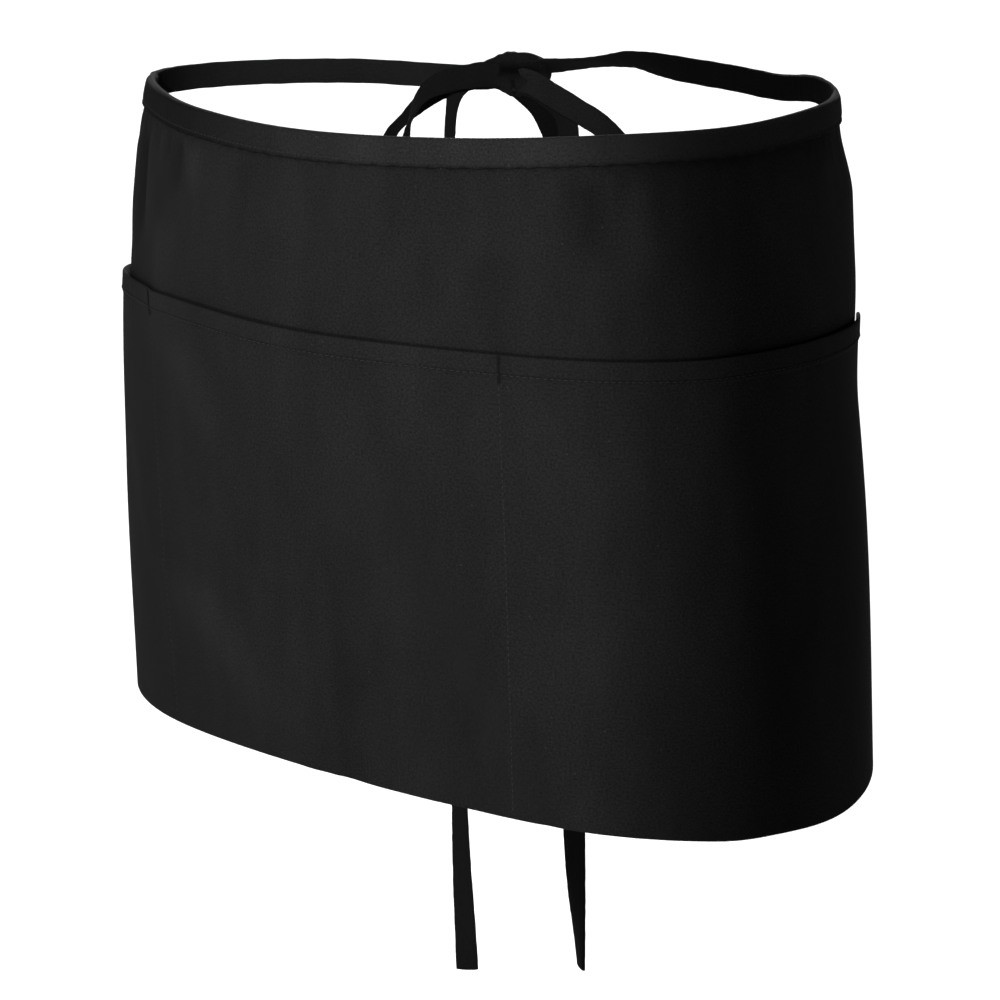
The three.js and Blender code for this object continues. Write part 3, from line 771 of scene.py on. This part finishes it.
def makeBand():
    height = waistForm["bandHeight"]
    foldTop = bandStrip["foldTop"]
    arcs = np.linspace(leftEdge, rightEdge, bandStrip["columns"] + 1)[:, None]
    rows = np.linspace(foldTop, height - 0.0004, bandStrip["faceRows"])[None, :]
    rise, wave = bandStrip["edgeWave"]
    outerRows = rows + rise * ripple(arcs, wave, 2.6) * rows / height
    outer = bandFace(arcs, outerRows)
    inner = -bandFace(arcs + bandStrip["innerShift"], outerRows)
    topTurn = np.radians(np.linspace(*bandStrip["topTurns"]))
    topOffset = bandFace(arcs, 0 * arcs + foldTop) * np.cos(topTurn)
    topLength = foldTop - bandStrip["topRound"] * np.sin(topTurn) + 0 * arcs
    # turned-in lower edges, and the inside of the fold
    under = 0 * arcs + pocketIn
    lowRow = outerRows[:, -1:]
    lowOffset = np.concatenate([outer[:, -1:] - 0.0003, under, under], axis=1)
    lowLength = np.concatenate([lowRow + 0.0004, lowRow + 0.0002, 0 * arcs + 0.0013], axis=1)
    offsets = np.concatenate([topOffset, outer, lowOffset, -lowOffset[:, ::-1], inner[:, ::-1]], axis=1)
    lengths = np.concatenate([topLength, outerRows, lowLength], axis=1)
    lengths = np.concatenate([lengths, lowLength[:, ::-1], outerRows[:, ::-1]], axis=1)
    # painted light and shade along the band, and painted shade at its lower edge
    paintedShades = toneFrom(bandStrip["tones"], turnAt(arcs)) * np.ones_like(lengths)
    depth, breadth, wave = bandStrip["lowEdgeShade"]
    lowEdge = humpAt(lengths, height - 0.0002, breadth)
    paintedShades = paintedShades * (1 - depth * lowEdge * (1 + 0.4 * ripple(arcs, wave, 1.9)))
    piece = wallAlongSkirt("apronBand", arcs[:, 0], lengths, offsets, litBandTwill, paintedShades)
    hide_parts("waistband")
    return piece


band = makeBand()
print("band made")


# Stitches: short slim spindles lying along a line on the cloth

stitchSet = {
    "pitch": 0.0029,
    "length": 0.0023,
    "radius": 0.00032,
    "tapeRadius": 0.000192,
    "sides": 6,
    "flatness": 0.8,
    # place along the stitch, girth
    "rounds": [(-0.5, 0.25), (-0.3, 0.9), (0, 1), (0.3, 0.9), (0.5, 0.25)],
    # how far each row stands out of its cloth
    "mouthStand": 0.0002,
    "dividerStand": -0.0003,
    "edgeStand": -0.0004,
    "bandStand": -0.0002,
}


def sewStitches(name, starts, ends, outs, radius, thread, slotName):
    middle = (starts + ends) / 2
    run = ends - starts
    side = unit(np.cross(run, outs))
    lift = unit(np.cross(side, run))
    sides, flatness, rounds = (stitchSet[key] for key in ("sides", "flatness", "rounds"))
    points, shell = [], []
    for at, girth in rounds:
        bow = lift * radius * flatness * (1 - (2 * at) ** 2)
        for turn in np.arange(sides) / sides * 2 * np.pi:
            wide = side * radius * girth * math.cos(turn)
            high = lift * radius * girth * math.sin(turn) * flatness
            points.append(middle + run * at + bow + wide + high)
    size = len(rounds) * sides
    for i in range(len(rounds) - 1):
        for j in range(sides):
            k = (j + 1) % sides
            shell.append((i * sides + j, i * sides + k, (i + 1) * sides + k, (i + 1) * sides + j))
    shell.append(tuple(range(sides))[::-1])
    shell.append(tuple(range(size - sides, size)))
    faces = [[s * size + v for v in face] for s in range(len(starts)) for face in shell]
    loops = sum(len(face) for face in faces)
    cloud = np.stack(points, axis=1).reshape(-1, 3)
    return linkMesh(name, cloud, faces, np.zeros((loops, 2)), thread)


def valuesAt(values, run, places):
    return np.stack([np.interp(places, run, values[:, c]) for c in range(3)], 1)


def stitchesAlong(line, outs):
    run = runAlong(line)
    count = int(run[-1] / stitchSet["pitch"])
    first = (np.arange(count) + 0.1) * stitchSet["pitch"]
    last = first + stitchSet["length"]
    return valuesAt(line, run, first), valuesAt(line, run, last), valuesAt(outs, run, first)


def joinRows(rows):
    return [np.concatenate(part) for part in zip(*rows)]


def lineOnSkirt(arcs, lengths, offsets):
    turns = turnAt(arcs)
    outs = outwardAt(turns, lengths / hemLength(turns))
    return skirtPoint(turns, lengths, offsets), outs


def rowOnPocket(arcs, lengths, stand):
    return stitchesAlong(*lineOnSkirt(arcs, lengths, pocketFace(arcs, lengths) + stand))


def sewPocket():
    arcs = np.linspace(leftEdge + 0.003, rightEdge - 0.003, 1600)
    mouth = mouthLength(turnAt(arcs))
    rows = [rowOnPocket(arcs, mouth + pocketPanel["mouthSeam"], stitchSet["mouthStand"])]
    for divider in (leftDivider, rightDivider):
        turn = turnAt(divider)
        lengths = np.linspace(mouthLength(turn) + 0.013, hemLength(turn) - 0.003, 500)
        rows.append(rowOnPocket(np.full_like(lengths, divider), lengths, stitchSet["dividerStand"]))
    for edge, way in ((leftEdge, 1), (rightEdge, -1)):
        at = np.full(600, edge + way * pocketPanel["edgeSeam"])
        turn = turnAt(at[0])
        lengths = np.linspace(mouthLength(turn) + 0.002, hemLength(turn) - 0.003, 600)
        rows.append(rowOnPocket(at, lengths, stitchSet["edgeStand"]))
    return sewStitches("pocketStitches", *joinRows(rows), stitchSet["radius"], sewingThread, "pocket_twill")


def sewBand():
    arcs = np.linspace(leftEdge + 0.002, rightEdge - 0.002, 1600)
    lengths = np.full_like(arcs, bandStrip["seam"])
    stand = stitchSet["bandStand"]
    outer, outs = lineOnSkirt(arcs, lengths, bandFace(arcs, lengths) + stand)
    inner, ins = lineOnSkirt(arcs, lengths, -bandFace(arcs + bandStrip["innerShift"], lengths) - stand)
    rows = joinRows([stitchesAlong(outer, outs), stitchesAlong(inner, -ins)])
    return sewStitches("bandStitches", *rows, stitchSet["radius"], sewingThread, "band_twill")


# Bartacks hold the mouth at each divider: close short stitches over a short bar
bartack = {
    "start": 0.0004,
    "length": 0.0125,
    "width": 0.0015,
    "pitch": 0.00055,
    "radius": 0.0003,
    "slant": 0.0002,
    "stand": 0.00035,
}


def sewBartacks():
    bars = []
    half = bartack["width"] / 2
    for divider in (leftDivider, rightDivider):
        mouth = float(mouthLength(turnAt(divider)))
        at = np.array([divider - half, divider + half])
        for i, row in enumerate(np.arange(bartack["start"], bartack["length"], bartack["pitch"]) + mouth):
            slant = bartack["slant"] * (-1) ** i
            lengths = np.array([row - slant, row + slant])
            line, out = lineOnSkirt(at, lengths, pocketFace(at, lengths) + bartack["stand"])
            bars.append((line[0], line[1], out[0]))
    ends = [np.array(part) for part in zip(*bars)]
    return sewStitches("mouthBartacks", *ends, bartack["radius"], darkThread, "pocket_twill")


pocketSeams = sewPocket()
bandSeams = sewBand()
mouthBars = sewBartacks()
print("seams sewn")


# Ties, loops and hanging ends: one folded tape, twelve and a half millimetres wide

tapeSet = {
    "width": 0.0125,
    "thickness": 0.0021,
    "layer": 0.00275,
    "knotTurn": -152.5,
    "knotEntry": 6.0,
    "sewnIn": 0.003,
    "knotSeat": 0.35,
    "knotSize": (0.038, 0.022, 0.016),
    "loopReach": 0.070,
    "loopDrop": 0.118,
    "tailDrop": 0.500,
    "stations": {"tie": 150, "loop": 170, "tail": 190},
}
knotOut = outwardAt(tapeSet["knotTurn"], 0.0)
knotAlong = np.array([-knotOut[1], knotOut[0], 0.0])
knotMiddle = skirtPoint(tapeSet["knotTurn"], waistForm["bandHeight"] / 2, 0.0)
knotMiddle = knotMiddle + knotOut * tapeSet["knotSeat"] * tapeSet["knotSize"][2]

# along in loop reaches, out in layers of tape, down in drops, roll in degrees
bowRoutes = {
    "rightLoop": [
        (0.06, -1.7, 0.006, 0), (0.29, -2.5, 0.006, 10), (0.5, -3.5, 0.03, 20), (0.645, -4.6, 0.081, 48),
        (0.73, -5.1, 0.158, 65), (0.8, -4.2, 0.273, 88), (0.845, -2.9, 0.67, 90), (0.9, -1.5, 0.97, 90),
        (1, -0.4, 1.03, 90), (1.1, 0.6, 0.84, 90), (1.12, 0.9, 0.56, 85), (0.99, 1, 0.281, 75),
        (0.845, 0.8, 0.19, 70), (0.65, 2, 0.09, 35), (0.38, 2.7, 0.03, 5), (0.09, 1.5, 0.01, 0),
    ],
    "leftLoop": [
        (0.08, -1.7, 0.016, 0), (-0.13, -2.3, 0.03, 0), (-0.305, -2.8, 0.084, 0), (-0.5, -3.1, 0.15, 5),
        (-0.69, -3.4, 0.22, 10), (-0.88, -3.5, 0.35, 25), (-1, -2.8, 0.6, 60), (-1.02, -1.6, 0.88, 90),
        (-0.9, 0, 1.02, 90), (-0.72, 1.5, 0.98, 90), (-0.55, 2.2, 0.76, 85), (-0.36, 2.6, 0.5, 60),
        (-0.26, 1.7, 0.25, 25), (-0.17, 0.9, 0.14, 5), (0.06, 0.4, 0.02, 0),
    ],
    "rightTail": [
        (0.11, 0.5, 0.001, 0), (0.31, 0.7, 0.002, 0), (0.405, 0.6, 0.008, 8), (0.455, 0.6, 0.018, 32),
        (0.495, 0.5, 0.036, 48), (0.54, 0.5, 0.12, 50), (0.6, 0.5, 0.49, 50), (0.58, 0.6, 0.81, 30),
        (0.555, 0.6, 0.998, -5),
    ],
    "leftTail": [
        (0.03, -0.7, 0.006, 0), (-0.15, -0.9, 0.013, 0), (-0.28, -0.9, 0.025, 5), (-0.36, -0.9, 0.037, 10),
        (-0.395, -0.9, 0.052, 15), (-0.4, -1.2, 0.1, 20), (-0.37, -1.5, 0.39, 15), (-0.355, -0.5, 0.8, 3),
        (-0.385, 0, 0.9815, 60),
    ],
    # share of the tie's run, out in layers, roll, lift in metres
    "leftTie": [(0, 0, 0, 0), (0.62, 0, 0, 0), (0.86, 1, -62, 0.0014), (1, 2.2, -50, 0.003)],
    "rightTie": [
        (0, 0, 0, 0), (0.5, 0.1, 0, 0), (0.67, 0.95, 0, -0.0004), (0.81, 1.5, 0, -0.0011),
        (1, 1.45, 0, -0.0015),
    ],
}


# Painted light and shade along each tape: two shares, then the two places they lie between, in shares of
# its run
tapeShades = {
    "tieLeft": (0.2, 0.65, 0.15, 0.55),
    "tieRight": (0.2, 1.05, 0.05, 0.3),
    "bowLoopRight": (0.75, 0.75, 0, 1),
    "bowLoopLeft": (1.3, 0.45, 0.3, 0.7),
    "tieEndRight": (0.95, 0.7, 0.2, 0.6),
    "tieEndLeft": (1.7, 0.3, 0.1, 0.5),
}


def fromKnot(along, out, down):
    return knotMiddle + knotAlong * along + knotOut * out - np.array([0, 0, down])


# A smooth line through points, as a bent tape takes it
def bentLine(points, perSpan):
    ends = [2 * points[0] - points[1], *points, 2 * points[-1] - points[-2]]
    line, at = [], []
    for i in range(1, len(ends) - 2):
        p0, p1, p2, p3 = ends[i - 1], ends[i], ends[i + 1], ends[i + 2]
        d0, d1, d2 = (math.sqrt(np.linalg.norm(b - a)) for a, b in ((p0, p1), (p1, p2), (p2, p3)))
        m1 = ((p1 - p0) / d0 - (p2 - p0) / (d0 + d1) + (p2 - p1) / d1) * d1
        m2 = ((p2 - p1) / d1 - (p3 - p1) / (d1 + d2) + (p3 - p2) / d2) * d1
        for t in np.arange(perSpan) / perSpan:
            square, cube = -3 * p1 + 3 * p2 - 2 * m1 - m2, 2 * p1 - 2 * p2 + m1 + m2
            line.append(p1 + m1 * t + square * t * t + cube * t ** 3)
            at.append(i - 1 + t)
    line.append(points[-1])
    at.append(len(points) - 1.0)
    line, at = np.array(line), np.array(at)
    return line, at, runAlong(line)


def evenly(values, run, count):
    wanted = np.linspace(0, run[-1], count)
    if values.ndim == 1:
        return np.interp(wanted, run, values)
    return valuesAt(values, run, wanted)


def turnedAbout(vector, axis, degrees):
    a = np.radians(degrees)[:, None]
    dot = (vector * axis).sum(1, keepdims=True)
    return vector * np.cos(a) + np.cross(axis, vector) * np.sin(a) + axis * dot * (1 - np.cos(a))


# The tape's own section: a soft fold at one edge, two turned-in edges sewn at the other
tapeSection = {
    "columns": 13,
    "flatShare": 0.62,
    # the turned-in edges: share of the half width, share of the half thickness
    "sewnEdge": [(1, 0.45), (0.985, 0.12), (0.9, 0.0), (0.985, -0.12), (1, -0.45)],
    "seam": 0.70,
    "seamBreadth": 0.09,
    "seamDip": 0.28,
    "seamRise": 0.55,
    # slow changes of width: share, wave; puckers: rise, wave; cupping: rise, turns along the run
    "widthWave": (0.02, 0.02),
    "pucker": (0.00016, 0.0065),
    "cup": (0.0005, 55),
}


def tapeSkin(name, places, across, face, material, seed):
    section = tapeSection
    half = tapeSet["width"] / 2
    thick = tapeSet["thickness"] / 2
    run = runAlong(places)
    inward = np.linspace(-1, 1, section["columns"])[1:-1]
    flat = section["flatShare"]
    upper = [(x, flat + (1 - flat) * math.sqrt(max(0.0, 1 - x * x))) for x in inward]
    outline = [(-1, 0.0), *upper, *section["sewnEdge"], *((x, -y) for x, y in upper[::-1])]
    share, wave = section["widthWave"]
    rise, puckerWave = section["pucker"]
    cupRise, cupTurns = section["cup"]
    rings = []
    for x, y in outline:
        wide = half * x * (1 + share * ripple(run, wave, seed))
        deep = thick * y * (1 - section["seamDip"] * humpAt(x, section["seam"], section["seamBreadth"]))
        deep = deep + rise * ripple(run, puckerWave, seed + x) * (0.4 + 0.6 * abs(x))
        cup = cupRise * (x * x - 0.4) * np.sin(run * cupTurns + seed)
        rings.append(places + across * wide[:, None] + face * (deep + cup)[:, None])
    rings = np.stack(rings, axis=1)
    # painted light and shade along the tape
    paintedShades = toneFrom(tapeShades[name], run / run[-1])[:, None]
    piece = ringSkin(name, rings, run, material, paintedShades)
    sewLine = places + across * half * section["seam"]
    lift = face[2:-2] * thick * section["seamRise"]
    top = stitchesAlong(sewLine[2:-2] + lift, face[2:-2])
    under = stitchesAlong(sewLine[2:-2] - lift, -face[2:-2])
    radius = stitchSet["tapeRadius"]
    seam = sewStitches(name + "Stitches", *joinRows([top, under]), radius, darkThread, "tie_twill")
    return piece, seam, float(run[-1])


def makeTie(name, startTurn, endTurn, rows, node, seed):
    count = tapeSet["stations"]["tie"]
    at = np.linspace(0, 1, count)
    turns = startTurn + (endTurn - startTurn) * at
    out = tapeSet["layer"] * readRow(rows, 1, at)
    places = skirtPoint(turns, waistForm["bandHeight"] / 2, out)
    places[:, 2] += readRow(rows, 3, at)
    rolls = readRow(rows, 2, at)
    into = knotMiddle + (places[-1] - knotMiddle) * np.linspace(1, 0.3, 8)[1:, None]
    places = np.concatenate([places, into])
    rolls = np.concatenate([rolls, np.full(len(into), rolls[-1])])
    tangent = unit(np.gradient(places, axis=0))
    up = np.array([0, 0, 1.0])
    across = unit(-(up - tangent * tangent[:, 2:3]))
    across = turnedAbout(across, tangent, rolls)
    piece, seam, length = tapeSkin(name, places, across, np.cross(tangent, across), shadedTieTwill, seed)
    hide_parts(node)


def makeRoute(name, route, drop, count, node, material, seed):
    rows = bowRoutes[route]
    points = [fromKnot(r[0] * tapeSet["loopReach"], r[1] * tapeSet["layer"], r[2] * drop) for r in rows]
    line, at, run = bentLine(points, 40)
    places = evenly(line, run, count)
    indexed = [(i, r[3]) for i, r in enumerate(rows)]
    rolls = readRow(indexed, 1, evenly(at, run, count))
    tangent = unit(np.gradient(places, axis=0))
    across = unit(np.cross(np.broadcast_to(knotOut, tangent.shape), tangent))
    across = turnedAbout(across, tangent, rolls)
    piece, seam, length = tapeSkin(name, places, across, np.cross(tangent, across), material, seed)
    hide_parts(node)


sewnIn = tapeSet["sewnIn"]
knotLeft = tapeSet["knotTurn"] + 360 - tapeSet["knotEntry"]
knotRight = tapeSet["knotTurn"] + tapeSet["knotEntry"]
leftStart, rightStart = turnAt(rightEdge - sewnIn), turnAt(leftEdge + sewnIn)
makeTie("tieLeft", leftStart, knotLeft, bowRoutes["leftTie"], "tie_left", 0.3)
makeTie("tieRight", rightStart, knotRight, bowRoutes["rightTie"], "tie_right", 1.1)
bowTapes = [
    ("bowLoopRight", "rightLoop", "loop", "bow_loop_right", "folded", shadedBowTwill, 2.2),
    ("bowLoopLeft", "leftLoop", "loop", "bow_loop_left", "folded", shadedBowTwill, 3.4),
    ("tieEndRight", "rightTail", "tail", "tie_end_right", "hung", shadedBowTwill, 4.5),
    ("tieEndLeft", "leftTail", "tail", "tie_end_left", "hung", shadedEndTwill, 5.6),
]
for name, route, kind, node, held, twill, seed in bowTapes:
    makeRoute(name, route, tapeSet[kind + "Drop"], tapeSet["stations"][kind], node, twill, seed)
print("ties and bow laid")


# The knot: tape wrapped over itself, pulled tight into soft ridges

knotForm = {
    "rounds": 90,
    "sides": 72,
    "ridge": 0.0011,
    "ridges": 3,
    "twist": 1.9,
    # the wrap across the middle: place, lean and breadth in half lengths, then its rise and creases
    "wrap": (0.12, 0.16, 0.3),
    "wrapRise": 0.0009,
    "wrapCrease": 0.00025,
    # along, girth
    "girth": [
        (-1, 0.14), (-0.9, 0.55), (-0.6, 0.82), (-0.3, 0.97), (0.05, 0.98), (0.35, 0.86),
        (0.6, 0.7), (0.9, 0.5), (1, 0.14),
    ],
    # the hollow between the wraps, dark with painted shade: up, height, breadth, depth, painted shade
    "hollow": (0.0026, 0.0040, 0.0200, 0.0014, 0.85),
    # the crease below it: along, breadth, depth, painted shade
    "crease": (-0.0008, 0.0010, 0.0009, 0.55),
}


def makeKnot():
    form = knotForm
    long, high, deep = tapeSet["knotSize"]
    along = np.sin(np.linspace(-math.pi / 2, math.pi / 2, form["rounds"]))[:, None]
    angle = np.linspace(0, 2 * math.pi, form["sides"], endpoint=False)[None, :]
    girth = readRow(form["girth"], 1, along)
    wound = form["ridges"] * (angle + along * form["twist"])
    ridge = form["ridge"] * (np.abs(np.sin(wound / 2)) ** 0.7 - 0.6) * (1 - along ** 6)
    place, lean, breadth = form["wrap"]
    wrap = np.exp(-(((along - place - lean * np.cos(angle)) / breadth) ** 4))
    creases = form["wrapCrease"] * np.sin(along * 26 + np.cos(angle) * 2)
    ridge = ridge * (1 - wrap) + wrap * (form["wrapRise"] + creases)
    # the hollow and crease lie on the side towards the waist
    near = smoothGate(-np.sin(angle), 0.0, 0.4)
    reach = along * long / 2
    level = high / 2 * girth * np.cos(angle)
    place, tall, broad, hollowDepth, hollowShade = form["hollow"]
    hollow = near * humpAt(level, place, tall) * np.exp(-((reach / broad) ** 4))
    place, slim, creaseDepth, creaseShade = form["crease"]
    crease = near * humpAt(reach, place, slim) * smoothGate(-level, 0.001, 0.003)
    ridge = ridge - hollowDepth * hollow - creaseDepth * crease
    # painted shade in the hollow and the crease
    paintedShades = (1 - hollowShade * hollow) * (1 - creaseShade * crease)
    up = (high / 2 * girth + ridge) * np.cos(angle)
    out = (deep / 2 * girth + ridge) * np.sin(angle)
    points = knotMiddle + knotAlong * (reach + 0 * angle)[..., None]
    points = points + knotOut * out[..., None] + np.array([0, 0, 1.0]) * up[..., None]
    run = (along[:, 0] + 1) * long / 2
    piece = ringSkin("bowKnot", points, run, shadedBowTwill, paintedShades)
    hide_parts("bow_knot")


makeKnot()
print("knot tied")


# Studio: a pale floor a metre below the waist, lit from above and behind; two low lights in
# front, and the second is flagged so that the wearer's left side stays in shade

studio = {
    "floorDepth": -1.0,
    "floorRadius": 40.0,
    "floorTone": 0.72,
    "surround": 0.05,
    "side": {"azimuth": -60, "elevation": 12, "strength": 1.7, "spread": 16},
    "overhead": {"azimuth": -40, "elevation": 80, "strength": 2.6, "spread": 40},
    "behind": {"azimuth": 215, "elevation": 20, "strength": 5.0, "spread": 10},
    # the flagged light: its cone ends a little way round the wearer's left side
    "front": {
        "azimuth": 30, "elevation": 12, "strength": 10.0, "reach": 3.0, "source": 0.03,
        "coneRadius": 1.4, "edge": 0.13, "edgeHeight": -0.25, "softness": 0.118,
    },
}


def placeLight(name, data, place, toward):
    light = bpy.data.objects.new(name, data)
    bpy.context.scene.collection.objects.link(light)
    light.rotation_mode = "QUATERNION"
    light.rotation_quaternion = toward.to_track_quat("Z", "Y")
    light.location = place


def hangSun(name):
    lamp = studio[name]
    data = bpy.data.lights.new(name, "SUN")
    data.energy = lamp["strength"]
    data.angle = math.radians(lamp["spread"])
    toward = towards(lamp["azimuth"], lamp["elevation"])
    placeLight(name, data, toward * 3, toward)


def hangSpot(name):
    lamp = studio[name]
    place = towards(lamp["azimuth"], lamp["elevation"]) * lamp["reach"]
    a = math.radians(lamp["azimuth"])
    across = Vector((math.cos(a), math.sin(a), 0))
    level = Vector((0, 0, lamp["edgeHeight"]))
    edge = across * lamp["edge"] + level - place
    aim = across * (lamp["edge"] - lamp["coneRadius"]) + level - place
    data = bpy.data.lights.new(name, "SPOT")
    data.energy = lamp["strength"] * 4 * math.pi * lamp["reach"] ** 2
    data.shadow_soft_size = lamp["source"]
    data.spot_size = 2 * aim.angle(edge)
    data.spot_blend = lamp["softness"]
    placeLight(name, data, place, -aim.normalized())


def makeStudio():
    radius, corners = studio["floorRadius"], 96
    turns = [2 * math.pi * i / corners for i in range(corners)]
    rim = [(radius * math.cos(t), radius * math.sin(t), studio["floorDepth"]) for t in turns]
    mesh = bpy.data.meshes.new("floor")
    mesh.from_pydata(rim, [], [list(range(corners))])
    paint = bpy.data.materials.new("pale floor")
    paint.use_nodes = True
    shader = paint.node_tree.nodes["Principled BSDF"]
    tone = studio["floorTone"]
    shader.inputs["Base Color"].default_value = (tone, tone, tone, 1)
    shader.inputs["Roughness"].default_value = 0.9
    shader.inputs["Specular IOR Level"].default_value = 0.1
    mesh.materials.append(paint)
    floor = bpy.data.objects.new("floor", mesh)
    bpy.context.scene.collection.objects.link(floor)

    for name in ("side", "overhead", "behind"):
        hangSun(name)
    hangSpot("front")

    world = bpy.data.worlds.new("surround")
    bpy.context.scene.world = world
    world.use_nodes = True
    sky = world.node_tree.nodes["Background"]
    sky.inputs["Color"].default_value = (1, 1, 1, 1)
    sky.inputs["Strength"].default_value = studio["surround"]
    bpy.context.scene.view_settings.view_transform = "Standard"


makeStudio()
print("studio lit")
